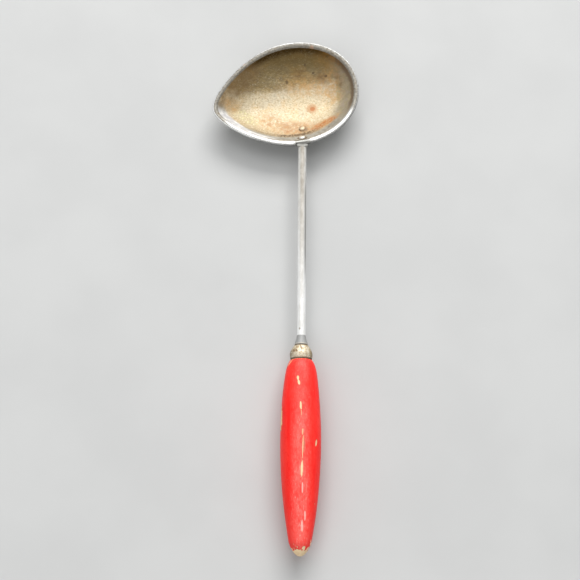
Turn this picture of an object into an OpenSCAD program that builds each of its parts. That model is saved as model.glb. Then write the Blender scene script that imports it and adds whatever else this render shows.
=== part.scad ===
// Side-pour kitchen ladle: pressed egg-shaped bowl, riveted steel shank, ferrule, turned wooden handle.
// It is drawn as it lies on a table: the bowl's bearing flat and the handle's belly touch Z = 0.
// The origin is on the bearing flat. +Y points from the handle towards the bowl's far rim,
// and the narrow pouring end of the bowl points to -X.

/* [Bowl] */
// Half length of the bowl inside its lip, along the egg's long axis
bowl_half_len = 39.8; // [34:0.2:46]
// Half width of the bowl inside its lip, across the egg's long axis
bowl_half_wid = 27.6; // [25:0.2:31]
// How much fuller the round end is than the pouring end
egg_bias = 0.175; // [0.1:0.005:0.22]
// How much the fullness gathers towards the round end's corners
egg_hook = 0.1; // [0:0.005:0.12]
// How much both ends are drawn in
egg_pinch = 0.137; // [0:0.005:0.18]
// Turn of the long axis away from square to the shank
egg_turn = 12.25; // [5:0.25:18]
// Depth taken by the crowned floor
floor_crown = 10; // [9:0.1:11]
// Depth added by the steep wall band
wall_rise = 4.2; // [3.5:0.1:5]
// Width of the steep wall band in plan
wall_band = 10; // [8:0.25:12]
// Sheet thickness
sheet = 0.9; // [0.7:0.05:1.1]
// Tilt of the rim towards the handle when the ladle lies down
rim_tilt = 4.5; // [3:0.25:6]
// Depth that use has worn off the floor where it rests
worn_flat = 0.2; // [0.1:0.05:0.3]

/* [Lip] */
// Width of the flat flange round the rim
lip_width = 2.75; // [2.2:0.05:3.4]
// Height of the flange above the top of the wall
lip_rise = 0.55; // [0.4:0.05:0.8]
// Depth of the turned-down outer edge
lip_drop = 2; // [1.6:0.1:2.4]

/* [Shank] */
// Diameter of the steel rod
rod_dia = 4.6; // [4:0.1:5.2]
// Length of bare rod between the lip and the collar
rod_bare = 111; // [90:1:140]
// Distance of the shank from the middle of the bowl, towards the round end
shank_offset = 9.9; // [6:0.1:12]
// Width of the flattened tang
tang_width = 6.4; // [5.6:0.1:7.2]
// Thickness of the flattened tang at the lip
tang_thick = 1.6; // [1.4:0.1:1.8]
// How much thinner the tang is at its tip
tang_taper = 0.45; // [0.3:0.05:0.6]
// Depth of the notch in the lip that the tang's raised shoulder fills
shoulder_seat = 0.9; // [0.6:0.05:1.2]
// Length of the shoulder that shows outside the lip
shoulder_len = 0.5; // [0.3:0.05:0.8]
// Length of the flared collar next to the ferrule
collar_len = 5.6; // [4:0.1:8]
// Diameter of the collar's wide end
collar_dia = 7.2; // [6.4:0.1:8]
// Length of rod driven into the handle
driven_len = 62; // [40:1:80]

/* [Rivets] */
// Diameter of the rivet shanks
rivet_dia = 2.4; // [2:0.1:2.8]
// Diameter of the round heads inside the bowl
rivet_head = 3.7; // [3.4:0.1:4.2]
// Height of the round heads
rivet_dome = 1.25; // [1:0.05:1.4]
// Distance of the first rivet from the inner edge of the lip, in plan
rivet_inset = 1.3; // [1.3:0.1:2]
// Distance between the rivets, in plan
rivet_pitch = 8.7; // [7.6:0.1:9]

/* [Ferrule] */
// Length of the ferrule
ferrule_len = 8.2; // [7:0.1:10]
// Largest diameter of the ferrule
ferrule_dia = 12.3; // [11.6:0.1:13]
// Diameter of the ferrule's small end
ferrule_nose = 7.7; // [7.3:0.1:8.4]
// Wall of the ferrule
ferrule_wall = 0.6; // [0.4:0.05:0.8]

/* [Handle] */
// Length of the wooden handle behind the ferrule
handle_len = 105; // [95:1:120]
// Largest diameter of the handle
handle_dia = 22; // [21:0.5:23]
// Distance of the largest diameter from the ferrule
belly_at = 45; // [35:1:52]
// Fall in radius from the belly to the shoulder
front_fall = 3.1; // [2.4:0.1:3.6]
// Extra rounding in radius right at the ferrule
shoulder_fall = 2; // [1.5:0.1:2.2]
// Fall in radius from the belly to the tail
tail_fall = 6.4; // [5:0.1:7.2]
// Length of the rounded tail end
nose_len = 8.2; // [6:0.2:12]

/* [Hidden] */
// Which node is shown
axis_z = handle_dia / 2;
rod_r = rod_dia / 2;
gap = 0.05;
fit = 0.05;
// Beyond this plan distance inside the lip the egg sections shrink in proportion
even_band = 14;
// Crowned floor as an ellipse: half axes at which it has risen by floor_crown
floor_a = (bowl_half_len - even_band) * bowl_half_wid / (bowl_half_wid - even_band);
floor_b = bowl_half_wid;
// Where the tilted floor is lowest, relative to the egg's middle
low_x = -tan(rim_tilt) * sin(egg_turn) * pow(floor_a, 2) / (2 * floor_crown);
low_y = -tan(rim_tilt) * cos(egg_turn) * pow(floor_b, 2) / (2 * floor_crown);
low_sag = pow(sin(rim_tilt), 2) / cos(rim_tilt)
  * (pow(sin(egg_turn) * floor_a, 2) + pow(cos(egg_turn) * floor_b, 2)) / (4 * floor_crown);
bowl_y = -(low_x * sin(egg_turn) + low_y * cos(egg_turn));
bowl_z = low_sag + sheet * cos(rim_tilt) - worn_flat;
wall_top = floor_crown + wall_rise;
columns = 96;

// ---- the bowl's shape, in its own axes: X along the egg, Z up from the inside of the floor ----
// w is the plan distance outside the inner edge of the lip, so it is negative inside the bowl.
function semi(w) = w > -even_band
  ? [bowl_half_len + w, bowl_half_wid + w]
  : [bowl_half_len - even_band, bowl_half_wid - even_band]
    * (bowl_half_wid + w) / (bowl_half_wid - even_band);
function swell(c) = 1 + egg_bias * c - egg_pinch * c * c + egg_hook * c * c * c;
function egg(w, t) = [semi(w)[0] * cos(t), semi(w)[1] * sin(t) * swell(cos(t))];
function band(w) = max(0, 1 + w / wall_band);
function inner_z(w) = floor_crown * pow((bowl_half_wid + w) / bowl_half_wid, 2)
  + wall_rise * pow(band(w), 2.2);
function steep(w) = atan(2 * floor_crown * (bowl_half_wid + w) / pow(bowl_half_wid, 2)
  + 2.2 * wall_rise / wall_band * pow(band(w), 1.2));

// Inside test for an egg section, and the section that passes through a plan point
function inside(p, s) = abs(p[0]) < s[0]
  && abs(p[1]) < s[1] * sqrt(1 - pow(p[0] / s[0], 2)) * swell(p[0] / s[0]);
function section_at(p, lo = -27, hi = 6, n = 22) = n == 0
  ? (lo + hi) / 2
  : inside(p, semi((lo + hi) / 2))
    ? section_at(p, lo, (lo + hi) / 2, n - 1)
    : section_at(p, (lo + hi) / 2, hi, n - 1);
// The inner section whose outside lies on section w
function back_off(w, guess, n = 10) = n == 0
  ? guess
  : back_off(w, w - sheet * sin(steep(guess)), n - 1);
function under_z(p) = let (w = section_at(p), c = back_off(w, w)) inner_z(c) - sheet * cos(steep(c));

// Height of the bowl's underside above the table at plan point (x, y)
function to_egg(x, y) = [x * cos(egg_turn) + y * sin(egg_turn), y * cos(egg_turn) - x * sin(egg_turn)];
function under(x, y, z = 6, n = 7) = n == 0
  ? z
  : let (
      dy = y - bowl_y,
      yb = dy * cos(rim_tilt) + (z - bowl_z) * sin(rim_tilt),
      zb = under_z(to_egg(x, yb))
    ) under(x, y, bowl_z + (zb + dy * sin(rim_tilt)) / cos(rim_tilt), n - 1);
function under_normal(x, y) = let (
    d = 0.05,
    gx = (under(x + d, y) - under(x - d, y)) / (2 * d),
    gy = (under(x, y + d) - under(x, y - d)) / (2 * d),
    l = sqrt(gx * gx + gy * gy + 1)
  ) [-gx / l, -gy / l, 1 / l];

// Plan Y, on the table's axes, of the point on section w that lies over the shank
function edge_y(w) = bowl_y - rim_reach(w) * cos(rim_tilt)
  - (w > 0 ? wall_top : inner_z(w)) * sin(rim_tilt);
function rim_reach(w, lo = 0, hi = 60, n = 30) = n == 0
  ? (lo + hi) / 2
  : inside(to_egg(shank_offset, -(lo + hi) / 2), semi(w))
    ? rim_reach(w, (lo + hi) / 2, hi, n - 1)
    : rim_reach(w, lo, (lo + hi) / 2, n - 1);

lip_y = edge_y(lip_width);
// Height of the flange's underside where the tang passes below it
under_lip_z = bowl_z + (lip_y - bowl_y) * tan(rim_tilt) + (wall_top + lip_rise - 0.84) / cos(rim_tilt);
notch_top = under_lip_z - 0.05;
collar_y = lip_y - rod_bare;
ferrule_y = collar_y - collar_len;
handle_y = ferrule_y - ferrule_len;
tail_y = handle_y - handle_len;

// ---- bowl ----
inner_ws = concat(
  [for (k = [1:6]) -bowl_half_wid + k * (bowl_half_wid - 12) / 7],
  [for (k = [0:8]) -12 + k * 1.5]
);
lip_pts = [
  [0.35, wall_top + lip_rise * 0.62],
  [0.85, wall_top + lip_rise * 0.93],
  [1.45, wall_top + lip_rise],
  [lip_width - 0.7, wall_top + lip_rise],
  [lip_width - 0.25, wall_top + lip_rise - 0.15],
  [lip_width, wall_top + lip_rise - 0.6],
  [lip_width, wall_top + lip_rise - lip_drop + 0.2],
  [lip_width - 0.25, wall_top + lip_rise - lip_drop],
  [lip_width - 0.6, wall_top + lip_rise - lip_drop + 0.15],
  [lip_width - 0.75, wall_top + lip_rise - 1.05],
  [lip_width - 1.05, wall_top + lip_rise - 0.82],
  [1.25, wall_top + lip_rise - 0.86]
];
outer_pts = [for (k = [len(inner_ws) - 1:-1:0])
  let (w = inner_ws[k]) [w + sheet * sin(steep(w)), inner_z(w) - sheet * cos(steep(w))]];
wall_section = concat([for (w = inner_ws) [w, inner_z(w)]], lip_pts, outer_pts);

module bowl_sheet() {
  rings = len(wall_section);
  pts = concat(
    [[0, 0, 0]],
    [for (p = wall_section, k = [0:columns - 1])
      let (e = egg(p[0], k * 360 / columns)) [e[0], e[1], p[1]]],
    [[0, 0, -sheet]]
  );
  last = rings * columns + 1;
  faces = concat(
    [for (k = [0:columns - 1]) [0, 1 + (k + 1) % columns, 1 + k]],
    [for (r = [0:rings - 2], k = [0:columns - 1])
      [1 + r * columns + k, 1 + r * columns + (k + 1) % columns, 1 + (r + 1) * columns + k]],
    [for (r = [0:rings - 2], k = [0:columns - 1])
      [1 + r * columns + (k + 1) % columns, 1 + (r + 1) * columns + (k + 1) % columns,
        1 + (r + 1) * columns + k]],
    [for (k = [0:columns - 1])
      [last, 1 + (rings - 1) * columns + k, 1 + (rings - 1) * columns + (k + 1) % columns]]
  );
  translate([0, bowl_y, bowl_z])
    rotate([rim_tilt, 0, 0])
      rotate([0, 0, egg_turn])
        polyhedron(pts, faces, convexity = 6);
}

module bowl() {
  color([0.74, 0.68, 0.56])
    difference() {
      bowl_sheet();
      // the worn bearing flat
      translate([-60, -60, -10])
        cube([120, 120, 10]);
      // the turned-down edge is cut away where the tang passes under the lip
      translate([shank_offset - tang_width / 2 - 0.4, lip_y - 1, notch_top - 5])
        cube([tang_width + 0.8, 2.7, 5]);
      // and the flange is notched for the tang's raised shoulder
      translate([shank_offset - tang_width / 2 - 0.15, lip_y - 1, notch_top - 1])
        cube([tang_width + 0.3, 1 + shoulder_seat, 4]);
      rivet_bores();
    }
}

// ---- rivets: each sits square to the wall, on the point of the underside over the shank ----
rivet_ys = [edge_y(-rivet_inset), edge_y(-rivet_inset) + rivet_pitch];

module on_wall(y) {
  n = under_normal(shank_offset, y);
  translate([shank_offset, y, under(shank_offset, y)])
    rotate([0, acos(n[2]), atan2(n[1], n[0])])
      children();
}

module rivet_bores() {
  for (y = rivet_ys)
    on_wall(y)
      translate([0, 0, -6])
        cylinder(d = rivet_dia + 0.1, h = 12, $fn = 48);
}

// thick is the thickness of the tang that the rivet holds
module rivet(thick) {
  low = -gap - thick - 0.12;
  high = sheet + 0.16;
  translate([0, 0, low - 0.01])
    cylinder(d = rivet_dia, h = high - low + 0.02, $fn = 48);
  // round head inside the bowl
  translate([0, 0, high])
    rotate_extrude($fn = 48)
      polygon(concat([[0, 0], [rivet_head / 2, 0]],
        [for (k = [1:7]) [rivet_head / 2 * cos(k * 90 / 8), 0.25 + (rivet_dome - 0.25) * sin(k * 90 / 8)]],
        [[0, rivet_dome]]));
  // tail peened flat under the tang
  translate([0, 0, low - 0.35])
    cylinder(d1 = 2.9, d2 = 3.5, h = 0.35, $fn = 48);
}

module rivets() {
  color([0.72, 0.66, 0.54])
    for (y = rivet_ys)
      on_wall(y)
        rivet(tang_t(y));
}

// ---- shank ----
// Top line of the tang: level under the lip, then down the outside of the wall
tang_level = under_lip_z - gap - 0.05;
function soft_min(a, b, k) = min(a, b) - k * ln(1 + exp(-abs(a - b) / k));
function tang_top(y) = soft_min(tang_level, under(shank_offset, y) - gap, 0.6);
function blend01(u) = let (c = min(1, max(0, u))) c * c * (3 - 2 * c);
tang_end = rivet_ys[1] + 2.7;
function tang_t(y) = tang_thick - tang_taper * min(1, max(0, (y - lip_y) / (tang_end - lip_y)));
shoulder_y = lip_y - shoulder_len;
neck_y = shoulder_y - 0.6;
// The tang starts inside the rod, a little thinner than it
root_r = rod_r - 0.12;
// The shoulder's top stands level with the flange, and drops to the tang behind its back edge
shoulder_back = lip_y + shoulder_seat - 0.25;
shoulder_rise = 0.75;
function raised(y) = shoulder_rise * (1 - blend01((y - shoulder_back) / 0.12));
tang_ys = concat(
  [neck_y - 0.6],
  [for (k = [0:5]) neck_y + (shoulder_y - neck_y) * k / 5],
  [shoulder_back, shoulder_back + 0.12],
  [for (k = [1:15]) shoulder_back + 0.12 + (tang_end - 2.4 - shoulder_back - 0.12) * k / 15],
  [for (k = [1:5]) tang_end - 2.4 + 2.4 * sin(k * 16.5)]
);
function sgn_pow(v, e) = sign(v) * pow(abs(v), e);
ring = 28;

function tang_ring(y) = let (
    flat = blend01((y - neck_y) / (shoulder_y - neck_y)),
    half_t = root_r + ((tang_t(y) + raised(y)) / 2 - root_r) * flat,
    into_end = max(0, (y - tang_end + 2.4) / 2.4),
    half_w = (root_r + (tang_width / 2 - root_r) * flat) * sqrt(1 - pow(min(0.97, into_end), 2)),
    top = (axis_z + root_r) * (1 - flat) + (tang_top(y) + raised(y)) * flat,
    slope = flat < 1 ? 0 : (tang_top(y + 0.05) - tang_top(y - 0.05)) / 0.1,
    l = sqrt(1 + slope * slope),
    n = [-slope / l, 1 / l],
    c = [y - half_t * n[0], top - half_t * n[1]],
    e = 2 / (2 + 4 * flat),
    hug = blend01((y - lip_y - 0.6) / 2.5)
  ) [for (k = [0:ring - 1])
      let (
        x = half_w * sgn_pow(cos(k * 360 / ring), e),
        t = half_t * sgn_pow(sin(k * 360 / ring), e),
        lean = hug > 0 ? hug * (under(shank_offset + x, y) - under(shank_offset, y)) : 0
      ) [shank_offset + x, c[0] + t * n[0], c[1] + t * n[1] + lean - 0.004 * x * x * hug]];

module tang() {
  rows = [for (y = tang_ys) tang_ring(y)];
  count = len(rows);
  pts = [for (r = rows, p = r) p];
  faces = concat(
    [[for (k = [ring - 1:-1:0]) k]],
    [for (r = [0:count - 2], k = [0:ring - 1])
      [r * ring + k, r * ring + (k + 1) % ring, (r + 1) * ring + k]],
    [for (r = [0:count - 2], k = [0:ring - 1])
      [r * ring + (k + 1) % ring, (r + 1) * ring + (k + 1) % ring, (r + 1) * ring + k]],
    [[for (k = [0:ring - 1]) (count - 1) * ring + k]]
  );
  polyhedron(pts, faces, convexity = 4);
}

module along_shank(y) {
  translate([shank_offset, y, axis_z])
    rotate([90, 0, 0])
      children();
}

module shank() {
  color([0.78, 0.78, 0.76])
    difference() {
      union() {
        tang();
        // round rod, its end blunted to a taper inside the handle
        along_shank(neck_y)
          cylinder(r = rod_r, h = neck_y - handle_y + driven_len - 5.9, $fn = 64);
        along_shank(handle_y - driven_len + 6)
          cylinder(r1 = rod_r, r2 = rod_r * 0.5, h = 6, $fn = 64);
        // flared collar that the ferrule is seated against
        along_shank(collar_y)
          rotate_extrude($fn = 64)
            polygon(concat([[0, 0], [rod_r + 0.12, 0]],
              [for (k = [1:8]) [rod_r + 0.12 + (collar_dia / 2 - rod_r - 0.12) * pow(k / 8, 1.2),
                (collar_len - 0.8) * k / 8]],
              [[collar_dia / 2, collar_len], [0, collar_len]]));
      }
      rivet_bores();
    }
}

// ---- ferrule: a thin spun cup over the handle's tenon ----
function bell(s) = ferrule_nose / 2 + (ferrule_dia - ferrule_nose) / 2 * sin(90 * min(1, s / 5))
  - (s > 5 ? 0.5 * pow((s - 5) / (ferrule_len - 5), 2) : 0);

module ferrule() {
  steps = 14;
  color([0.72, 0.63, 0.47])
    along_shank(ferrule_y - 0.02)
      rotate_extrude($fn = 72)
        polygon(concat(
          [[rod_r + fit, 0], [ferrule_nose / 2 - 0.35, 0]],
          [for (k = [0:steps]) [bell(k * (ferrule_len - 0.35) / steps), 0.3 + k * (ferrule_len - 0.35) / steps]],
          [for (k = [steps:-1:0]) [bell(k * (ferrule_len - 0.35) / steps) - ferrule_wall,
            0.3 + k * (ferrule_len - 0.35) / steps + (k == steps ? 0 : 0.4)]],
          [[rod_r + fit, 0.7]]));
}

// ---- handle ----
function belly(s) = s < belly_at
  ? handle_dia / 2 - front_fall * pow(1 - s / belly_at, 2) - shoulder_fall * exp(-s / 3)
  : handle_dia / 2 - tail_fall * pow((s - belly_at) / (handle_len - belly_at), 2);
function nose(s) = let (u = (s - handle_len + nose_len) / nose_len) u <= 0 ? 1 : sqrt(1 - u * u);
tenon_r = bell(ferrule_len) - ferrule_wall - 0.1;
tenon_len = 4.6;
handle_ss = concat(
  [for (k = [0:7]) k * 1.2],
  [for (k = [0:30]) 9.6 + (handle_len - nose_len - 9.6) * k / 30],
  [for (k = [1:11]) handle_len - nose_len + nose_len * sin(k * 90 / 12)]
);

module handle() {
  color([0.86, 0.16, 0.13])
    along_shank(handle_y - 0.15)
      difference() {
        rotate_extrude($fn = 96)
          polygon(concat(
            [[0, -tenon_len], [tenon_r - 0.8, -tenon_len], [tenon_r, -tenon_len + 1.6], [tenon_r, 0]],
            [for (s = handle_ss) [belly(s) * nose(s), s]],
            [[0, handle_len]]));
        translate([0, 0, -tenon_len - 1])
          cylinder(r = rod_r + fit, h = tenon_len + 1 + driven_len + 1, $fn = 64);
      }
}

bowl();
shank();
rivets();
ferrule();
handle();
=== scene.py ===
"""Side-pour gravy ladle: the finished look of each piece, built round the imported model.

Lengths in the tables and formulas are millimetres in the row frame, and meshes are written in metres.
+Y points from the handle towards the bowl's far rim, and the bowl's pouring end points to -X.
"""

import math

import bpy
import numpy as np
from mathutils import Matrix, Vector


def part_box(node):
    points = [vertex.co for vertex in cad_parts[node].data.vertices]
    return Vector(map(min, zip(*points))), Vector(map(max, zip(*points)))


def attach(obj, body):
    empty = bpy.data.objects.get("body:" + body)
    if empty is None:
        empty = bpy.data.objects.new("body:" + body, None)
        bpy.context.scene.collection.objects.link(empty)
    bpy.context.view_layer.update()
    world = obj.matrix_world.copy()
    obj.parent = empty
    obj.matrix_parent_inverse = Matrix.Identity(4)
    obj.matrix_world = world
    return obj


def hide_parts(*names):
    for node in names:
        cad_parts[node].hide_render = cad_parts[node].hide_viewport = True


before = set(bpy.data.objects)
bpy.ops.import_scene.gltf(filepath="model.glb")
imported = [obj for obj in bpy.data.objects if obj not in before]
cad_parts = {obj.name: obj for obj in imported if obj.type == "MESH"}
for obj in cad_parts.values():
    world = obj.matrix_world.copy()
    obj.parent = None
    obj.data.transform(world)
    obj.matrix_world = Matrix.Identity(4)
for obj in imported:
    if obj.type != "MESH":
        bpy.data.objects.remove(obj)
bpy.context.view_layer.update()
MM = 0.001


def node_box(node):
    """Lowest and highest corner of a CAD node, in millimetres."""
    low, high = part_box(node)
    return np.array(low) / MM, np.array(high) / MM


SHANK_LOW, SHANK_HIGH = node_box("shank")
FERRULE_LOW, FERRULE_HIGH = node_box("ferrule")
HANDLE_LOW, HANDLE_HIGH = node_box("handle")

# ---- the bowl: an egg in plan, with sections w millimetres outside the lip's inner edge ----
HALF_LEN, HALF_WID = 39.8, 27.6  # the lip's inner edge
EGG_BIAS = 0.175  # fuller towards the blunt end,
EGG_PINCH = 0.137  # narrower towards both,
EGG_HOOK = 0.1  # and drawn to a point at the pouring end
EGG_TURN = math.radians(12.25)  # from square to the shank
TURN_COS, TURN_SIN = math.cos(EGG_TURN), math.sin(EGG_TURN)
EVEN_BAND = 14.0  # how far in from the lip the sections keep even spacing
FLOOR_CROWN = 10.0  # depth of the floor's parabola
WALL_RISE, WALL_BAND, WALL_POWER = 4.2, 10.0, 2.2  # the wall's extra rise over its outer band
WALL_TOP = FLOOR_CROWN + WALL_RISE
SHEET = 0.9
RIM_TILT = math.radians(4.5)  # down towards the handle
TILT_COS, TILT_SIN, TILT_TAN = math.cos(RIM_TILT), math.sin(RIM_TILT), math.tan(RIM_TILT)
WORN_FLAT = 0.2
LIP_WIDTH, LIP_RISE, LIP_DROP = 2.75, 0.55, 2.0
LIP_TOP = WALL_TOP + LIP_RISE
FLANGE_THICK = 0.84
NOTCH_CLEAR = 0.15
BOWL_COLUMNS = 384

# ---- places taken from the frame ----
AXIS_X = (HANDLE_LOW[0] + HANDLE_HIGH[0]) / 2
AXIS_Z = (HANDLE_LOW[2] + HANDLE_HIGH[2]) / 2
FERRULE_DIA = FERRULE_HIGH[0] - FERRULE_LOW[0]
FERRULE_Y = FERRULE_HIGH[1]
FERRULE_LEN = FERRULE_HIGH[1] - FERRULE_LOW[1]
TENON_LEN = 4.6
HANDLE_DIA = HANDLE_HIGH[0] - HANDLE_LOW[0]
HANDLE_Y = HANDLE_HIGH[1] - TENON_LEN
HANDLE_LEN = HANDLE_Y - HANDLE_LOW[1]

# ---- the shank, rivets, ferrule and handle ----
ROD_R = 2.3
ROD_COLUMNS = 64
SHOULDER_LEN, SHOULDER_SEAT, SHOULDER_RISE = 0.5, 0.9, 0.75
NECK_LEN = 0.6
TANG_WIDTH, TANG_THICK, TANG_TAPER = 6.4, 1.6, 0.45
TANG_TIP = 2.7  # past the further rivet
TANG_ROUND = 2.4
COLLAR_LEN = 5.6
COLLAR_R = SHANK_HIGH[2] - AXIS_Z
RIVET_INSET, RIVET_PITCH = 1.3, 8.7
RIVET_R, RIVET_DOME = 1.85, 1.25
RIVET_COLUMNS = 56
FERRULE_NOSE, FERRULE_WALL = 7.7, 0.6
FERRULE_COLUMNS = 144
BELLY_AT = 45.0  # the handle's thickest place
FRONT_FALL, SHOULDER_FALL, TAIL_FALL = 3.1, 2.0, 6.4
NOSE_LEN = 8.2  # the rounded tail
HANDLE_COLUMNS = 240


# ---- mesh tools ----

def volume(points, faces):
    """Signed volume of a closed skin: positive if its faces look outwards."""
    total = 0.0
    for count in {len(face) for face in faces}:
        corners = np.asarray(points)[np.array([face for face in faces if len(face) == count])]
        for k in range(1, count - 1):
            total += (corners[:, 0] * np.cross(corners[:, k], corners[:, k + 1])).sum() / 6
    return total


def make_piece(name, points, faces, materials, face_materials=None):
    """A smooth-shaded mesh object from points in millimetres, with its faces turned outwards."""
    if volume(points, faces) < 0:
        faces = [face[::-1] for face in faces]
    mesh = bpy.data.meshes.new(name)
    mesh.from_pydata((np.asarray(points) * MM).tolist(), [], faces)
    mesh.update()
    for material in materials:
        mesh.materials.append(material)
    if face_materials is not None:
        mesh.polygons.foreach_set("material_index", face_materials)
    mesh.polygons.foreach_set("use_smooth", [True] * len(mesh.polygons))
    piece = bpy.data.objects.new(name, mesh)
    bpy.context.scene.collection.objects.link(piece)
    return piece


def ring_faces(rings, columns, closed=False):
    """Quads between neighbouring rings of equal length; closed joins the last ring to the first."""
    faces = []
    for r in range(rings if closed else rings - 1):
        near, far = r * columns, (r + 1) % rings * columns
        for c in range(columns):
            d = (c + 1) % columns
            faces.append((near + c, near + d, far + d, far + c))
    return faces


def capped_rings(rings, first, last):
    """Points and faces of a closed skin: rings of points between a first and a last middle point."""
    count, columns, _ = rings.shape
    points = np.concatenate([rings.reshape(-1, 3), [first], [last]])
    faces = ring_faces(count, columns)
    start, end = count * columns, count * columns + 1
    tail = (count - 1) * columns
    faces += [(start, (c + 1) % columns, c) for c in range(columns)]
    faces += [(end, tail + c, tail + (c + 1) % columns) for c in range(columns)]
    return points, faces


def full_turn(columns):
    return np.arange(columns) * 2 * math.pi / columns


def lathe(profile, columns):
    """Rings of a piece turned on the shank's axis, from rows of (distance towards the tail, radius)."""
    turn = full_turn(columns)
    along, radius = np.asarray(profile).T
    rings = np.empty((len(along), columns, 3))
    rings[..., 0] = AXIS_X + radius[:, None] * np.cos(turn)
    rings[..., 1] = -along[:, None]
    rings[..., 2] = AXIS_Z + radius[:, None] * np.sin(turn)
    return rings


def pushed(rings, push):
    """Rings of a turned piece moved away from the axis by push, in millimetres."""
    away = (rings - (AXIS_X, 0, AXIS_Z)) * (1, 0, 1)
    return rings + away / np.linalg.norm(away, axis=-1, keepdims=True) * push[..., None]


def rounded(points, rounds=3):
    """An open polyline with its corners cut again and again, so that it turns smoothly."""
    line = np.asarray(points, float)
    for _ in range(rounds):
        near = line[:-1] * 0.75 + line[1:] * 0.25
        far = line[:-1] * 0.25 + line[1:] * 0.75
        line = np.concatenate([line[:1], np.stack([near, far], 1).reshape(-1, 2), line[-1:]])
    return line


def ripple(points, seed, count, low, high):
    """Smooth unevenness between about -1 and 1: a fixed set of plane waves, low to high millimetres long."""
    draw = np.random.default_rng(seed)
    direction = draw.normal(size=(count, 3))
    direction /= np.linalg.norm(direction, axis=1, keepdims=True)
    push = direction * (2 * math.pi / draw.uniform(low, high, count))[:, None]
    phase = draw.uniform(0, 2 * math.pi, count)
    return np.sin(points @ push.T + phase).sum(-1) / math.sqrt(count)


def blend(t):
    """0 up to t = 0, 1 from t = 1 on, smooth between."""
    c = np.clip(t, 0, 1)
    return c * c * (3 - 2 * c)


# ---- the bowl's shape ----

# the floor's lowest point, on which the tilted bowl rests, lies under the row's origin
FLOOR_A = (HALF_LEN - EVEN_BAND) * HALF_WID / (HALF_WID - EVEN_BAND)
LOW_X = -TILT_TAN * TURN_SIN * FLOOR_A**2 / (2 * FLOOR_CROWN)
LOW_Y = -TILT_TAN * TURN_COS * HALF_WID**2 / (2 * FLOOR_CROWN)
LOW_SAG = (
    TILT_SIN**2 / TILT_COS * ((TURN_SIN * FLOOR_A) ** 2 + (TURN_COS * HALF_WID) ** 2) / (4 * FLOOR_CROWN))
BOWL_Y = -(LOW_X * TURN_SIN + LOW_Y * TURN_COS)
BOWL_Z = LOW_SAG + SHEET * TILT_COS - WORN_FLAT


def swell(c):
    """How much fuller than an ellipse the egg is, for c from -1 at the pouring end to 1."""
    return 1 + EGG_BIAS * c - EGG_PINCH * c * c + EGG_HOOK * c**3


def half_axes(w):
    """Half length and half width of the egg section that lies w outside the lip's inner edge."""
    share = (HALF_WID + w) / (HALF_WID - EVEN_BAND)
    inner = w < -EVEN_BAND
    return (
        np.where(inner, (HALF_LEN - EVEN_BAND) * share, HALF_LEN + w),
        np.where(inner, (HALF_WID - EVEN_BAND) * share, HALF_WID + w),
    )


def inner_z(w):
    """Height of the inside surface over the middle of the floor."""
    return (
        FLOOR_CROWN * ((HALF_WID + w) / HALF_WID) ** 2
        + WALL_RISE * np.maximum(0, 1 + w / WALL_BAND) ** WALL_POWER
    )


def steepness(w):
    """Slope angle of the inside surface."""
    return np.arctan(
        2 * FLOOR_CROWN * (HALF_WID + w) / HALF_WID**2
        + WALL_POWER * WALL_RISE / WALL_BAND * np.maximum(0, 1 + w / WALL_BAND) ** (WALL_POWER - 1)
    )


def on_table(x, y, z):
    """From the egg's own axes to the row frame."""
    tx = x * TURN_COS - y * TURN_SIN
    ty = x * TURN_SIN + y * TURN_COS
    return np.stack([
        tx,
        BOWL_Y + ty * TILT_COS - z * TILT_SIN,
        BOWL_Z + ty * TILT_SIN + z * TILT_COS,
    ], -1)


def crossing(low, high, short):
    """Where, between low and high, short() stops being true; low and high may be arrays."""
    for _ in range(45):
        mid = (low + high) / 2
        below = short(mid)
        low, high = np.where(below, mid, low), np.where(below, high, mid)
    return (low + high) / 2


def section_of(x, y):
    """The section w that passes through a plan point in the egg's own axes."""
    def short(w):
        a, b = half_axes(w)
        c = np.clip(x / a, -1, 1)
        return (np.abs(x) >= a) | (np.abs(y) >= b * np.sqrt(1 - c * c) * swell(c))

    return crossing(np.full(np.shape(x), -HALF_WID + 0.01), 8.0, short)


def underside(x, y):
    """Height of the bowl's underside above the table, at plan points of the row frame."""
    x, y = np.broadcast_arrays(np.asarray(x, float), np.asarray(y, float))
    z = np.full(x.shape, 6.0)
    for _ in range(8):
        dy = y - BOWL_Y
        yb = dy * TILT_COS + (z - BOWL_Z) * TILT_SIN
        ex = x * TURN_COS + yb * TURN_SIN
        ey = yb * TURN_COS - x * TURN_SIN
        w = section_of(ex, ey)
        inner = w
        for _ in range(10):
            inner = w - SHEET * np.sin(steepness(inner))
        zb = inner_z(inner) - SHEET * np.cos(steepness(inner))
        z = BOWL_Z + (zb + dy * TILT_SIN) / TILT_COS
    return z


def edge_y(w):
    """Row-frame Y of the point of section w that lies over the shank, on the near side."""
    def short(reach):
        ex = AXIS_X * TURN_COS - reach * TURN_SIN
        ey = -reach * TURN_COS - AXIS_X * TURN_SIN
        return section_of(ex, ey) < w

    z = WALL_TOP if w > 0 else inner_z(w)
    return float(BOWL_Y - crossing(0.0, 60.0, short) * TILT_COS - z * TILT_SIN)


LIP_Y = edge_y(LIP_WIDTH)
UNDER_LIP_Z = BOWL_Z + (LIP_Y - BOWL_Y) * TILT_TAN + (LIP_TOP - FLANGE_THICK) / TILT_COS
RIVET_YS = [edge_y(-RIVET_INSET), edge_y(-RIVET_INSET) + RIVET_PITCH]


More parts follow.
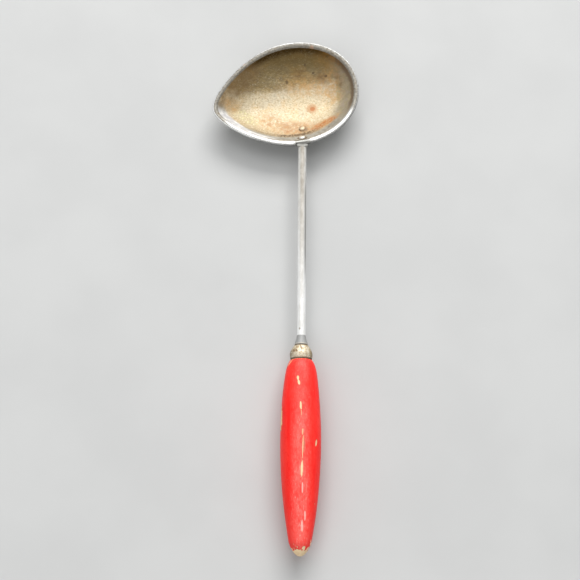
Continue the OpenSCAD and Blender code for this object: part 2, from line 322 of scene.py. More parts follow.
def lip_outline():
    """The lip's section, from the wall's top out over the flange and back under it: (w, z) rows."""
    return rounded([
        (-0.25, WALL_TOP - 0.25),
        (0.0, WALL_TOP),
        (0.35, WALL_TOP + 0.36),
        (0.9, LIP_TOP - 0.02),
        # the groove, then the rounded edge and its turned-down side
        (LIP_WIDTH - 0.95, LIP_TOP + 0.03),
        (LIP_WIDTH - 0.78, LIP_TOP - 0.1),
        (LIP_WIDTH - 0.62, LIP_TOP - 0.02),
        (LIP_WIDTH - 0.25, LIP_TOP - 0.12),
        (LIP_WIDTH + 0.02, LIP_TOP - 0.55),
        (LIP_WIDTH, LIP_TOP - LIP_DROP + 0.25),
        (LIP_WIDTH - 0.25, LIP_TOP - LIP_DROP),
        (LIP_WIDTH - 0.6, LIP_TOP - LIP_DROP + 0.2),
        (LIP_WIDTH - 0.72, LIP_TOP - 1.0),
        # back under the flange
        (LIP_WIDTH - 1.05, LIP_TOP - FLANGE_THICK),
        (1.2, LIP_TOP - 0.86),
        (0.85, WALL_TOP - 0.42),
        (0.62, WALL_TOP - 0.75),
    ])


def notched(lips, edge):
    """The lip's section at the tang's shoulder: its flange ends at edge, with no turned-down side."""
    out = np.flatnonzero(lips[:, 0] > 1.0)[0]
    back = np.flatnonzero(lips[:, 0] > 1.25)[-1]
    corner = rounded([
        lips[out], (edge - 0.2, LIP_TOP), (edge, LIP_TOP - 0.12),
        (edge, LIP_TOP - 0.72), (edge - 0.15, LIP_TOP - 0.86), lips[back],
    ], 2)
    step = np.concatenate([[0], np.cumsum(np.linalg.norm(np.diff(corner, axis=0), axis=1))])
    spread = np.linspace(0, step[-1], back - out + 1)
    short = lips.copy()
    short[out:back + 1] = np.stack([np.interp(spread, step, corner[:, k]) for k in (0, 1)], 1)
    return short


def egg_point(turn, w, z):
    """The point of section w at height z, at each turn round the egg."""
    a, b = half_axes(w)
    return on_table(a * np.cos(turn), b * np.sin(turn) * swell(np.cos(turn)), z)


def notch_turn(x):
    """The turn round the egg, on the near side, whose lip edge lies at x in the row frame."""
    def short(turn):
        return egg_point(turn, LIP_WIDTH, WALL_TOP)[..., 0] < x

    return float(crossing(math.radians(-130), math.radians(-30), short)) % (2 * math.pi)


def bowl(inside, flange, groove, edge, outside):
    """The pressed sheet, one closed skin from the middle of its inside round to its underside."""
    half_notch = TANG_WIDTH / 2 + NOTCH_CLEAR
    turn = full_turn(BOWL_COLUMNS)
    # two close columns on each side of the notch make its square corners
    sides = [notch_turn(AXIS_X + side * (half_notch + step)) for side in (-1, 1) for step in (-0.02, 0.02)]
    kept = [t for t in turn if min(abs(t - side) for side in sides) > 0.004]
    turn = np.sort(np.concatenate([kept, sides]))
    columns = len(turn)
    w_in = np.concatenate([np.linspace(-HALF_WID + 0.6, -12, 28), np.linspace(-11.7, -0.3, 38)])
    w_out = np.concatenate([np.linspace(-0.3, -11.7, 30), np.linspace(-12, -HALF_WID + 0.6, 22)])
    lips = lip_outline()
    inner = np.stack([w_in, inner_z(w_in)], 1)
    lean = steepness(w_out)
    outer = np.stack([w_out + SHEET * np.sin(lean), inner_z(w_out) - SHEET * np.cos(lean)], 1)
    section = np.concatenate([inner, lips, outer])
    lip_rows = np.zeros((len(section), 1), bool)
    lip_rows[len(inner):len(inner) + len(lips)] = True

    # where the tang passes, the turned-down edge is cut away up to the flange
    rim = egg_point(turn, LIP_WIDTH, WALL_TOP)
    near = rim[:, 1] < 0
    off_axis = np.abs(rim[:, 0] - AXIS_X)
    over_tang = blend((TANG_WIDTH / 2 + 0.55 - off_axis) / 0.25) * near
    w, z = [np.repeat(section[:, k:k + 1], columns, 1) for k in (0, 1)]
    lifted = np.where(w > 1.3, np.maximum(z, LIP_TOP - FLANGE_THICK), z)
    z = z + (lifted - z) * over_tang * lip_rows

    # and the flange is notched, square to the shank, for the tang's raised shoulder
    inner_rim = egg_point(turn, 0.0, WALL_TOP)
    for c in np.flatnonzero(near & (off_axis < half_notch)):
        reach = (LIP_Y + SHOULDER_SEAT - inner_rim[c, 1]) / (rim[c, 1] - inner_rim[c, 1])
        short = notched(lips, LIP_WIDTH * reach)
        w[lip_rows[:, 0], c], z[lip_rows[:, 0], c] = short.T

    # the flange is a little uneven: hammered over by hand
    side = np.stack([np.cos(turn), np.sin(turn), 0 * turn], 1) * 30
    uneven = ripple(side, 11, 7, 9, 46)
    droop = ripple(side, 12, 6, 12, 60)
    steady = 1 - blend((6 - off_axis) / 2) * near
    out = np.clip(w / LIP_WIDTH, 0, 1.05) * steady
    w = w + 0.035 * (uneven - 1.6) * out * lip_rows
    z = z + (0.05 * droop - 0.03 * uneven) * out * lip_rows

    rings = egg_point(turn, w, z)
    # shallow dents of use in the floor and wall, the same on both faces of the sheet
    fade = blend(-w / 3.0)
    rings[..., 2] += fade * 0.09 * ripple(rings * (1, 1, 0), 21, 9, 9, 34)
    rings[..., 2] = np.maximum(rings[..., 2], 0.0)
    centre = on_table(0.0, 0.0, 0.0)
    below = on_table(0.0, 0.0, -SHEET)
    points, faces = capped_rings(
        rings,
        (centre[0], centre[1], float(rings[0, :, 2].mean())),
        (below[0], below[1], float(rings[-1, :, 2].mean())),
    )
    # which finish each band of faces has, from the middle of the inside round to the underside
    middle = (section[1:] + section[:-1]) / 2
    bands = np.zeros(len(middle), int)
    start, end = len(inner) - 1, len(inner) + len(lips) - 6
    bands[start:end] = 1
    on_top = (middle[:, 1] > LIP_TOP - 0.3) & (middle[:, 0] > LIP_WIDTH - 0.95)
    bands[on_top & (middle[:, 0] < LIP_WIDTH - 0.66)] = 2
    first_edge = np.flatnonzero(on_top & (middle[:, 0] >= LIP_WIDTH - 0.66))[0]
    bands[first_edge:end] = 3
    bands[end:] = 4
    kinds = np.concatenate([np.repeat(bands, columns), np.zeros(columns, int), np.full(columns, 4)])
    return make_piece("bowl_sheet", points, faces, [inside, flange, groove, edge, outside], kinds)


# ---- shank, rivets, ferrule, handle ----

def tang_thickness(y, end):
    """The tang thins from the lip towards its end."""
    return TANG_THICK - TANG_TAPER * np.clip((y - LIP_Y) / (end - LIP_Y), 0, 1)


def soft_min(a, b, k):
    """The lower of a and b, rounded off over about k where they cross."""
    return np.minimum(a, b) - k * np.log1p(np.exp(-np.abs(a - b) / k))


def shank(steel):
    """Tang, shoulder, rod, collar and driven end, as one closed skin of rings from bowl to handle."""
    turn = full_turn(ROD_COLUMNS)
    end = RIVET_YS[1] + TANG_TIP
    shoulder = LIP_Y - SHOULDER_LEN
    neck = shoulder - NECK_LEN
    level = UNDER_LIP_Z - 0.1
    # the shoulder's top stands level with the flange, and drops to the tang behind its back edge
    back = LIP_Y + SHOULDER_SEAT - 0.25

    def tang_top(y):
        return soft_min(level, underside(AXIS_X, y) - 0.05, 0.6)

    stations = np.concatenate([
        end - TANG_ROUND + TANG_ROUND * np.sin(np.linspace(math.radians(86), 0, 14)),
        np.linspace(end - 2.5, back + 0.2, 56),
        back + np.array([0.12, 0.08, 0.04, 0.0, -0.04]),
        np.linspace(back - 0.15, shoulder + 0.1, 6),
        np.linspace(shoulder, neck, 12),
    ])
    rings = []
    for y in stations:
        flat = float(blend((y - neck) / (shoulder - neck)))
        raised = SHOULDER_RISE * (1 - float(blend((y - back) / 0.12)))
        thick = tang_thickness(y, end) + raised
        half_t = ROD_R + (thick / 2 - ROD_R) * flat
        into = max(0.0, (y - end + TANG_ROUND) / TANG_ROUND)
        half_w = (ROD_R + (TANG_WIDTH / 2 - ROD_R) * flat) * math.sqrt(1 - min(0.998, into) ** 2)
        top = (AXIS_Z + ROD_R) * (1 - flat) + (float(tang_top(y)) + raised) * flat
        slope = 0.0 if flat < 1 else float(tang_top(y + 0.05) - tang_top(y - 0.05)) / 0.1
        length = math.hypot(1, slope)
        n = (-slope / length, 1 / length)
        middle = (y - half_t * n[0], top - half_t * n[1])
        power = 2 / (2 + 4 * flat)
        hug = float(blend((y - LIP_Y - 0.6) / 2.5))
        x = half_w * np.sign(np.cos(turn)) * np.abs(np.cos(turn)) ** power
        t = half_t * np.sign(np.sin(turn)) * np.abs(np.sin(turn)) ** power
        lean = hug * (underside(AXIS_X + x, y) - underside(AXIS_X, y)) if hug > 0 else 0.0
        rings.append(np.stack([
            AXIS_X + x, middle[0] + t * n[0], middle[1] + t * n[1] + lean - 0.004 * x * x * hug], 1))

    # the bare rod, slightly uneven from drawing and use
    collar = FERRULE_Y + COLLAR_LEN
    ys = np.linspace(neck - 0.5, collar + 0.25, 150)
    wobble = 0.025 * ripple(np.stack([0 * ys, ys, 0 * ys], 1), 31, 6, 7, 30)
    rod = lathe(np.stack([-ys, ROD_R + wobble], 1), ROD_COLUMNS)
    # the collar flares to its seat on the ferrule, then steps back to the rod
    root, steps = ROD_R + 0.12, 16
    flare = [(0.0, ROD_R), (0.1, ROD_R + 0.04), (0.2, root)]
    flare += [
        (0.2 + (COLLAR_LEN - 1.0) * k / steps, root + (COLLAR_R - root) * (k / steps) ** 1.2)
        for k in range(1, steps + 1)]
    flare += [
        (COLLAR_LEN - 0.4, COLLAR_R), (COLLAR_LEN - 0.16, COLLAR_R - 0.08),
        (COLLAR_LEN - 0.02, COLLAR_R - 0.3), (COLLAR_LEN, COLLAR_R - 1.0), (COLLAR_LEN, ROD_R)]
    collar_rings = lathe([(s - collar, r) for s, r in flare], ROD_COLUMNS)
    # the driven end, inside ferrule and handle
    driven = SHANK_LOW[1]
    hidden = lathe([(-FERRULE_Y + 2, ROD_R), (-driven - 6, ROD_R), (-driven, ROD_R * 0.5)], ROD_COLUMNS)
    skin = np.concatenate([np.array(rings), rod, collar_rings, hidden])
    points, faces = capped_rings(
        skin[::-1], (AXIS_X, driven, AXIS_Z), (AXIS_X, end, float(skin[0, :, 2].mean())))
    return make_piece("shank_steel", points, faces, [steel])


def rivet(name, y, thick, metal):
    """One rivet, square to the wall: domed head inside, shank through sheet and tang, peened tail."""
    d = 0.05
    gx = float(underside(AXIS_X + d, y) - underside(AXIS_X - d, y)) / (2 * d)
    gy = float(underside(AXIS_X, y + d) - underside(AXIS_X, y - d)) / (2 * d)
    n = Vector((-gx, -gy, 1)).normalized()
    base = Vector((AXIS_X, y, float(underside(AXIS_X, y))))
    low = -0.05 - thick - 0.12
    seat = SHEET + 0.06
    dome = [(RIVET_R * math.cos(k * math.pi / 32), 0.28 + (RIVET_DOME - 0.28) * math.sin(k * math.pi / 32))
            for k in range(1, 16)]
    skirt = [(1.2, -0.05), (RIVET_R - 0.12, -0.02), (RIVET_R, 0.12), (RIVET_R + 0.01, 0.24)]
    head = [(r, seat + h) for r, h in skirt + dome]
    tail = [(1.2, 0), (1.72, 0), (1.75, -0.1), (1.6, -0.3), (1.2, -0.36), (0.5, -0.37)]
    profile = head[::-1] + [(r, low + h) for r, h in tail]
    turn = full_turn(RIVET_COLUMNS)
    radius, height = np.array(profile).T
    local = np.stack([
        radius[:, None] * np.cos(turn),
        radius[:, None] * np.sin(turn),
        height[:, None] + 0 * turn,
    ], -1)
    # hammer marks: the head is a little off round
    uneven = ripple(local * 2, int(100 + abs(y)), 5, 3, 8)
    local[..., :2] *= (1 + 0.012 * uneven)[..., None]
    local[..., 2] += 0.03 * uneven * (local[..., 2] > seat + 0.3)
    axes = np.array(n.to_track_quat("Z", "Y").to_matrix())
    rings = local @ axes.T + np.array(base)
    top = rings[0].mean(axis=0) + np.array(n) * 0.006
    bottom = np.array(base) + np.array(n) * (low - 0.37)
    points, faces = capped_rings(rings, top, bottom)
    return make_piece(name, points, faces, [metal])


def bell(s):
    """Radius of the ferrule at distance s from its small end."""
    body = FERRULE_NOSE / 2 + (FERRULE_DIA - FERRULE_NOSE) / 2 * math.sin(math.pi / 2 * min(1, s / 5))
    return body - 0.5 * (max(0, s - 5) / (FERRULE_LEN - 5)) ** 2


def ferrule(metal):
    """A thin spun cup with a small rolled front edge."""
    nose_r, wall = FERRULE_NOSE / 2, FERRULE_WALL
    steps = 44
    length = FERRULE_LEN - 0.35
    outer = [(0.3 + length * k / steps, bell(length * k / steps)) for k in range(steps + 1)]
    edge = [(outer[-1][0] + 0.05, outer[-1][1] - 0.12), (outer[-1][0] + 0.05, outer[-1][1] - wall + 0.1)]
    inner = [(s + 0.25, r - wall) for s, r in outer[-2::-1] if r - wall > ROD_R + 0.3]
    front = [(0.0, ROD_R + 0.05), (0.0, nose_r - 0.42), (0.06, nose_r - 0.16), (0.18, nose_r - 0.03)]
    profile = front + outer + edge + inner + [(0.75, ROD_R + 0.05)]
    rings = lathe([(s - FERRULE_Y, r) for s, r in profile], FERRULE_COLUMNS)
    # dings in the spun metal's outside
    outside = np.array([0.15 < s < FERRULE_LEN - 0.3 and r > nose_r for s, r in profile])
    rings = pushed(rings, 0.035 * ripple(rings, 41, 8, 5, 16) * outside[:, None])
    faces = ring_faces(len(profile), FERRULE_COLUMNS, closed=True)
    return make_piece("ferrule_cup", rings.reshape(-1, 3), faces, [metal])


def handle_radius(s):
    """Radius of the turned handle at distance s behind the ferrule."""
    front = HANDLE_DIA / 2 - FRONT_FALL * (1 - s / BELLY_AT) ** 2 - SHOULDER_FALL * math.exp(-s / 3)
    back = HANDLE_DIA / 2 - TAIL_FALL * ((s - BELLY_AT) / (HANDLE_LEN - BELLY_AT)) ** 2
    body = front if s < BELLY_AT else back
    u = (s - HANDLE_LEN + NOSE_LEN) / NOSE_LEN
    return body * (1 if u <= 0 else math.sqrt(max(0, 1 - u * u)))


def handle(wood):
    """Tenon, body and rounded tail, with the bore for the shank's driven end."""
    tenon_r = bell(FERRULE_LEN) - FERRULE_WALL - 0.1
    # the face behind the ferrule, then the turned body and the rounded tail
    front = [(-TENON_LEN, ROD_R + 0.05), (-TENON_LEN, tenon_r - 0.5)]
    front += [(-TENON_LEN + 0.8, tenon_r), (0.0, tenon_r)]
    shoulder = handle_radius(0.0)
    front += [(0.02, shoulder - 0.25), (0.1, shoulder - 0.08), (0.25, handle_radius(0.25))]
    body = [0.25 + k * 0.45 for k in range(1, 20)]
    body += list(np.linspace(9.4, HANDLE_LEN - NOSE_LEN - 0.3, 180))
    body += [HANDLE_LEN - NOSE_LEN + NOSE_LEN * math.sin(k * math.pi / 2 / 40) for k in range(0, 40)]
    profile = front + [(s, handle_radius(s)) for s in body]
    bore_end = HANDLE_Y - SHANK_LOW[1] + 1
    bore = [(bore_end, 0.6), (bore_end, ROD_R + 0.05)]
    whole = bore + profile
    rings = lathe([(s - HANDLE_Y, r) for s, r in whole], HANDLE_COLUMNS)
    # turned by hand: barely out of round, with shallow flats that fade at the tail's tip
    share = np.array([min(1, r / 5) * (k >= len(bore) + 5) for k, (s, r) in enumerate(whole)])
    rings = pushed(rings, (0.06 * ripple(rings * (1, 0.35, 1), 51, 8, 10, 40) - 0.06) * share[:, None])
    tail = (AXIS_X, -(HANDLE_LEN - HANDLE_Y), AXIS_Z)
    points, faces = capped_rings(rings, (AXIS_X, HANDLE_Y - bore_end, AXIS_Z), tail)
    return make_piece("handle_wood", points, faces, [wood])


# ---- material tools ----

class Look:
    """Wires one material's nodes. Places and sizes are in millimetres of the row frame."""

    def __init__(self, name):
        self.material = bpy.data.materials.new(name)
        self.material.use_nodes = True
        self.tree = self.material.node_tree
        self.shader = self.tree.nodes["Principled BSDF"]
        self.place = self.scaled(self.node("TexCoord").outputs["Object"], (1 / MM, 1 / MM, 1 / MM))
        self.x, self.y, self.z = self.node("SeparateXYZ", {0: self.place}).outputs

    def fill(self, node, inputs):
        """Links or sets a node's inputs, given by name or number; None leaves one alone."""
        for key, value in inputs.items():
            socket = node.inputs[key]
            if isinstance(value, bpy.types.NodeSocket):
                self.tree.links.new(value, socket)
            elif value is not None:
                socket.default_value = (*value, 1) if socket.type == "RGBA" else value

    def node(self, kind, inputs=None, **settings):
        node = self.tree.nodes.new("ShaderNode" + kind)
        for name, setting in settings.items():
            setattr(node, name, setting)
        self.fill(node, inputs or {})
        return node

    def scaled(self, vector, factors):
        return self.node("VectorMath", {0: vector, 1: factors}, operation="MULTIPLY").outputs[0]

    def maths(self, operation, a, b):
        return self.node("Math", {0: a, 1: b}, operation=operation).outputs[0]

    def times(self, *factors):
        """The product of masks and plain numbers."""
        product = factors[0]
        for factor in factors[1:]:
            product = self.maths("MULTIPLY", product, factor)
        return product

    def plus(self, value, *shifts):
        """value with each shift added to it: a field and its weight."""
        for field, weight in shifts:
            value = self.maths("ADD", value, self.times(field, weight))
        return value

    def off(self, value, centre):
        """How far value is from centre."""
        return self.maths("ABSOLUTE", self.maths("SUBTRACT", value, centre), None)

    def either(self, *masks):
        found = masks[0]
        for mask in masks[1:]:
            found = self.maths("MAXIMUM", found, mask)
        return found

    def noise(self, size, detail=4, rough=0.6, stretch=(1, 1, 1), seed=0, twist=0.0):
        """Cloudy noise about 0.5 whose features are about size millimetres across."""
        near = self.scaled(self.place, tuple(k / size for k in stretch))
        moved = self.node("VectorMath", {0: near, 1: (seed * 3.7, seed * 1.3, seed * 2.1)}, operation="ADD")
        return self.node("TexNoise", {
            "Vector": moved.outputs[0], "Scale": 1.0,
            "Detail": detail, "Roughness": rough, "Distortion": twist,
        }).outputs["Fac"]

    def ease(self, value, start, end, low=0.0, high=1.0):
        """low up to start, high from end on, smooth between. start may be above end."""
        if start > end:
            start, end, low, high = end, start, high, low
        return self.node(
            "MapRange",
            {"Value": value, "From Min": start, "From Max": end, "To Min": low, "To Max": high},
            interpolation_type="SMOOTHSTEP",
        ).outputs["Result"]

    def mix(self, amount, a, b):
        return self.node("Mix", {"Factor": amount, 6: a, 7: b}, data_type="RGBA").outputs[2]

    def coats(self, colour, *layers):
        """colour under layers laid on in turn: each a tone, then the masks and numbers it is as strong as."""
        for tone, *cover in layers:
            colour = self.mix(self.times(*cover), colour, tone)
        return colour

    def patch(self, centre, half, turn, ragged, grain=1.2, soft=0.25, seed=0.0):
        """A mask over an upright elliptic column: 1 inside, 0 outside, with a ragged, soft edge."""
        shifted = self.node("Mapping", {
            "Vector": self.place, "Location": (*centre, 0),
            "Rotation": (0, 0, math.radians(turn)), "Scale": (*half, 1),
        }, vector_type="TEXTURE").outputs[0]
        reach = self.node("VectorMath", {0: self.scaled(shifted, (1, 1, 0))}, operation="LENGTH")
        tear = self.maths("SUBTRACT", self.noise(grain, 3, seed=seed), 0.5)
        return self.ease(self.plus(reach.outputs["Value"], (tear, ragged)), 1 + soft / 2, 1 - soft / 2)

    def patches(self, grain, soft, seed, *rows):
        """Patches as one mask, from rows of centre, half size, turn, raggedness and perhaps strength."""
        return self.either(*[
            self.times(self.patch(centre, half, turn, ragged, grain, soft, seed + k), *strength)
            for k, (centre, half, turn, ragged, *strength) in enumerate(rows)])

    def finish(self, colour, roughness, metallic, *reliefs, **fixed):
        """The material, with bumps from (height, depth) reliefs and constants on the shader's own sockets."""
        normal = None
        for height, depth in reliefs:
            normal = self.node("Bump", {
                "Strength": 1.0, "Distance": depth * MM, "Height": height, "Normal": normal,
            }).outputs[0]
        self.fill(self.shader, {
            "Base Color": colour, "Roughness": roughness, "Metallic": metallic, "Normal": normal,
            **{name.replace("_", " "): value for name, value in fixed.items()},
        })
        return self.material


def height_in_bowl(look):
    """Height above the inside of the bowl's floor, square to the tilted rim."""
    upright = (0, -TILT_SIN, TILT_COS)
    leaned = look.node("VectorMath", {0: look.place, 1: upright}, operation="DOT_PRODUCT")
    level = BOWL_Z * TILT_COS - BOWL_Y * TILT_SIN
    return look.maths("SUBTRACT", leaned.outputs["Value"], level)


# ---- materials ----

def bowl_inside_look():
    look = Look("tinned_inside")
    ease, patch = look.ease, look.patch
    height = height_in_bowl(look)
    broad = look.noise(14, 3, 0.5, seed=1)
    cloud = look.noise(5.5, seed=2)
    mid = look.noise(2.4, seed=3)
    fine = look.noise(1.05, 3, 0.65, seed=4)
    speck = look.noise(0.5, 3, seed=5)
    gold = look.noise(7.5, 4, 0.6, (0.7, 1.2, 1), seed=27, twist=0.6)
    olive = look.noise(3.6, 4, 0.65, (0.6, 1.2, 1), seed=28, twist=0.4)
    grain = look.noise(1.0, 3, 0.65, (0.45, 1.1, 1), seed=29)
    dust = look.noise(0.85, 3, 0.7, (0.8, 1.1, 1), seed=30)

    # the near floor: cream, sand and pinkish flecks over the tin, duller towards the handle
    stained = ease(look.plus(look.y, (cloud, 6.0)), 8, -12)
    yellow = patch((-23.0, -6.5), (7.5, 3.6), -30, 0.9, 3.0, 1.0, seed=6)
    colour = look.coats(
        look.mix(ease(broad, 0.36, 0.64), (0.68, 0.565, 0.37), (0.66, 0.57, 0.41)),
        ((0.7, 0.5, 0.255), ease(cloud, 0.46, 0.68, 0, 0.6)),
        ((0.6, 0.42, 0.235), ease(mid, 0.52, 0.7, 0, 0.35)),
        ((0.9, 0.83, 0.66), ease(fine, 0.53, 0.66, 0, 0.6)),
        ((0.52, 0.4, 0.25), ease(fine, 0.47, 0.35, 0, 0.55)),
        ((0.43, 0.335, 0.2), stained, 0.85),
        ((0.66, 0.585, 0.44), ease(fine, 0.54, 0.66, 0, 0.45)),
        ((0.4, 0.335, 0.205), yellow, 0.85),
        ((0.6, 0.56, 0.27), yellow, ease(fine, 0.5, 0.62, 0, 0.7)),
    )
    # painted shade with tarnish: olive brown mottling over the far half, where the far rim's shadow falls,
    # darkest under the far lip as a painted shadow
    brown = look.coats(
        look.mix(ease(broad, 0.36, 0.64), (0.275, 0.187, 0.055), (0.275, 0.205, 0.09)),
        ((0.48, 0.29, 0.07), ease(gold, 0.46, 0.66, 0, 0.6)),
        ((0.17, 0.12, 0.045), ease(olive, 0.47, 0.66, 0, 0.6)),
        ((0.47, 0.35, 0.15), ease(grain, 0.5, 0.66, 0, 0.55)),
        ((0.17, 0.115, 0.05), ease(grain, 0.48, 0.34, 0, 0.5)),
    )
    far_lip_shade = look.times(ease(look.plus(height, (mid, 2.5)), 9.8, 14.0), ease(look.y, 12, 24))
    colour = look.coats(
        colour,
        # painted shade of the far rim's shadow over the far half, darker up the far wall, near black under
        # the far lip
        (brown, ease(look.plus(look.y, (look.x, -0.17), (cloud, 7.0)), 12.0, 18.5, 0, 0.9)),
        ((0.165, 0.105, 0.022), ease(look.plus(look.y, (cloud, 6.0)), 19, 31, 0, 0.75)),
        ((0.062, 0.035, 0.006), far_lip_shade, 0.95),
        # a fine grain of tin and scale all over
        ((0.26, 0.18, 0.09), ease(dust, 0.47, 0.36, 0, 0.45)),
        ((0.86, 0.78, 0.6), ease(dust, 0.54, 0.66, 0, 0.42), ease(look.y, 22, 12, 0.3, 1.0)),
    )
    # the wall band: grey tin on the near side, olive on the right, brown stains on the left, painted shade
    # under the lip at the right end, and a pale band where the near wall turns into the lip: polished by
    # pouring and wiping, and partly a painted highlight where that wall faces the back light
    near_wall = look.times(ease(look.plus(height, (mid, 1.6)), 8.2, 10.0), ease(look.y, 3, -7))
    tin = look.mix(ease(mid, 0.42, 0.62), (0.36, 0.35, 0.315), (0.26, 0.245, 0.21))
    right_wall = look.times(
        ease(look.plus(height, (cloud, 3.0), (olive, 2.5)), 6.2, 9.8),
        ease(look.x, 22, 32), ease(look.y, -13, -5))
    streak = patch((30.6, 10.0), (1.2, 8.0), 4, 1.0, 2.2, 0.9, seed=40)
    under_lip_shade = look.times(
        ease(look.plus(height, (mid, 2.6)), 11.6, 13.6), ease(look.x, 22, 31), ease(look.y, -8, 0))
    left_wall = patch((-26, 12), (13, 5.5), 40, 0.8, 5, 1.0, seed=7)
    # partly a painted highlight: where the near wall faces the back light it is painted near white, over tin
    # kept bright by wiping
    polish_and_highlight = look.times(
        ease(look.plus(height, (mid, 1.0), (ease(look.x, -18, -30), 2.5)), 9.4, 11.4),
        ease(look.y, -2.5, -7.5), ease(look.plus(look.x, (cloud, 12.0)), 5, -10))
    polish_and_highlight_colour = look.mix(ease(olive, 0.36, 0.62), (0.84, 0.84, 0.82), (0.56, 0.56, 0.58))
    colour = look.coats(
        colour,
        (tin, near_wall, 0.9),
        ((0.335, 0.285, 0.185), right_wall, ease(olive, 0.35, 0.65, 0.65, 0.9)),
        ((0.4, 0.34, 0.28), right_wall, ease(mid, 0.46, 0.6, 0, 0.6)),
        ((0.36, 0.29, 0.1), streak, ease(fine, 0.36, 0.56, 0, 0.55)),
        # painted shade under the lip at the right end
        ((0.17, 0.115, 0.075), under_lip_shade, 0.8),
        ((0.27, 0.175, 0.08), left_wall, ease(olive, 0.32, 0.66, 0.35, 0.8)),
        (polish_and_highlight_colour, polish_and_highlight),
    )
    # washes of dull gold, orange rust along the foot of the wall, and brown stains
    burnt = patch((24.5, 25.0), (8.0, 5.0), -40, 1.2, 4.0, 1.3, seed=39)
    gilt = look.times(look.either(
        look.times(patch((-30.8, -0.6), (4.6, 3.2), 0, 1.2, 3.2, 1.2, seed=11),
                   ease(olive, 0.3, 0.62, 0.95, 0.3)),
        look.times(patch((26.5, 11.0), (6.0, 8.5), 10, 1.2, 4.0, 1.3, seed=12),
                   ease(mid, 0.36, 0.62, 0.1, 0.85)),
        look.times(patch((15.0, 13.5), (15.0, 5.0), 0, 1.2, 4.0, 1.3, seed=38),
                   ease(mid, 0.36, 0.62, 0.15, 0.8)),
    ), ease(dust, 0.4, 0.56, 0.6, 0.95))
    rust = look.times(look.either(
        look.times(patch((22.5, -10.8), (8.4, 2.3), 28, 1.2, 2.4, 0.9, seed=8),
                   ease(fine, 0.3, 0.56, 0.3)),
        look.times(patch((6.0, -13.6), (12.0, 4.6), 4, 1.1, 3.2, 1.0, seed=9),
                   ease(mid, 0.34, 0.6, 0.15, 0.85)),
        look.times(patch((-7.0, -10.0), (9.5, 5.0), -24, 1.2, 3.0, 1.0, seed=10),
                   ease(mid, 0.38, 0.62, 0, 0.75)),
    ), ease(dust, 0.4, 0.56, 0.55, 1.0))
    orange = look.mix(ease(olive, 0.4, 0.6), (0.52, 0.27, 0.085), (0.44, 0.18, 0.05))
    deep = patch((22.8, -10.6), (7.8, 1.7), 28, 1.6, 1.6, 0.8, seed=13)
    crumbs = patch((21.0, -12.4), (10.0, 2.2), 28, 1.8, 1.4, 0.8, seed=37)
    stains = look.either(
        patch((8.5, 20.5), (3.6, 3.0), 0, 1.0, 2.4, 0.9, seed=14),
        patch((22.5, 17.0), (4.5, 2.6), -20, 1.2, 2.0, 0.9, seed=15),
        patch((30.5, 15.5), (1.8, 4.8), 20, 1.2, 1.8, 0.9, seed=16),
        patch((-36.2, 0.8), (1.6, 4.2), -15, 1.2, 1.6, 0.9, seed=31),
    )
    ring = patch((15.4, 0.0), (3.0, 2.8), 0, 0.5, 1.6, 0.55, seed=17)
    core = patch((15.7, -0.3), (1.45, 1.35), 0, 0.6, 1.0, 0.6, seed=18)
    colour = look.coats(
        colour,
        ((0.36, 0.2, 0.055), burnt, ease(mid, 0.36, 0.62, 0.15, 0.6)),
        ((0.62, 0.355, 0.125), gilt),
        (orange, rust, 0.9),
        ((0.42, 0.14, 0.028), deep, ease(dust, 0.42, 0.56), ease(mid, 0.38, 0.52, 0.25, 1.0), 0.85),
        ((0.24, 0.1, 0.03), crumbs, ease(fine, 0.55, 0.64, 0, 0.8)),
        ((0.24, 0.135, 0.05), stains, ease(olive, 0.36, 0.66, 0.1, 0.6)),
        ((0.58, 0.32, 0.15), ring, 0.7),
        ((0.5, 0.185, 0.06), core, 0.85),
    )
    # a broken brown tide line at the foot of the near wall, dark rings round the rivets, and a few pits
    level = look.plus(height, (look.maths("SUBTRACT", mid, 0.5), 2.6))
    along = look.either(
        look.times(ease(look.x, -6.5, -2.5), ease(look.x, 22, 14)),
        look.times(ease(look.x, -24, -14), ease(look.x, 0, -6), 0.5),
    )
    tide = look.times(
        ease(level, 6.0, 6.8), ease(level, 8.7, 7.8), along, ease(fine, 0.34, 0.52), ease(look.y, -8, -12))
    near_rivet_ring = patch((AXIS_X, RIVET_YS[0] + 0.85), (2.85, 1.9), 0, 0.3, 1.0, 0.35, seed=19)
    far_rivet_ring = patch((AXIS_X + 0.75, RIVET_YS[1] - 0.1), (2.35, 2.35), 0, 0.8, 1.0, 0.6, seed=20)
    pits = look.either(
        patch((25.1, -14.6), (0.55, 0.5), 0, 0.5, 0.8, 0.6, seed=21),
        patch((16.0, 20.6), (0.8, 0.55), 20, 0.6, 0.8, 0.6, seed=22),
        patch((0.7, 15.7), (0.8, 1.1), 15, 0.7, 0.8, 0.7, seed=23),
        patch((23.4, 18.5), (0.8, 0.6), 0, 0.6, 0.8, 0.6, seed=24),
        patch((11.1, 24.6), (0.45, 0.7), 0, 0.6, 0.8, 0.6, seed=25),
        ease(look.noise(1.2, 2, 0.5, seed=26), 0.71, 0.78, 0, 0.5),
    )
    dark_marks = look.either(tide, near_rivet_ring, look.times(far_rivet_ring, 0.6), look.times(pits, 0.85))
    colour = look.coats(colour, ((0.115, 0.07, 0.033), dark_marks, 0.88))

    worn_off = look.either(rust, ring, dark_marks)
    shine = look.either(ease(worn_off, 0.1, 0.9, 0.34, 0.06), look.times(far_lip_shade, 0.9))
    rough = look.plus(ease(fine, 0.3, 0.7, 0.5, 0.62), (worn_off, 0.15))
    return look.finish(colour, rough, shine, (speck, 0.045), (fine, 0.09), (worn_off, 0.06))


# painted dark reflection: the grey given to the lip where it lies pressed flat over the tang
TANG_GREY = (0.2, 0.195, 0.175)


def lip_start(name):
    look = Look(name)
    return look, look.noise(1.2, 4, 0.65, seed=32)


def over_tang(look):
    """Where the lip is hammered down over the tang."""
    return look.times(look.patch((AXIS_X, LIP_Y + 1.9), (4.8, 4.2), 0, 0.25, 1.2, 0.4, seed=36), 0.95)


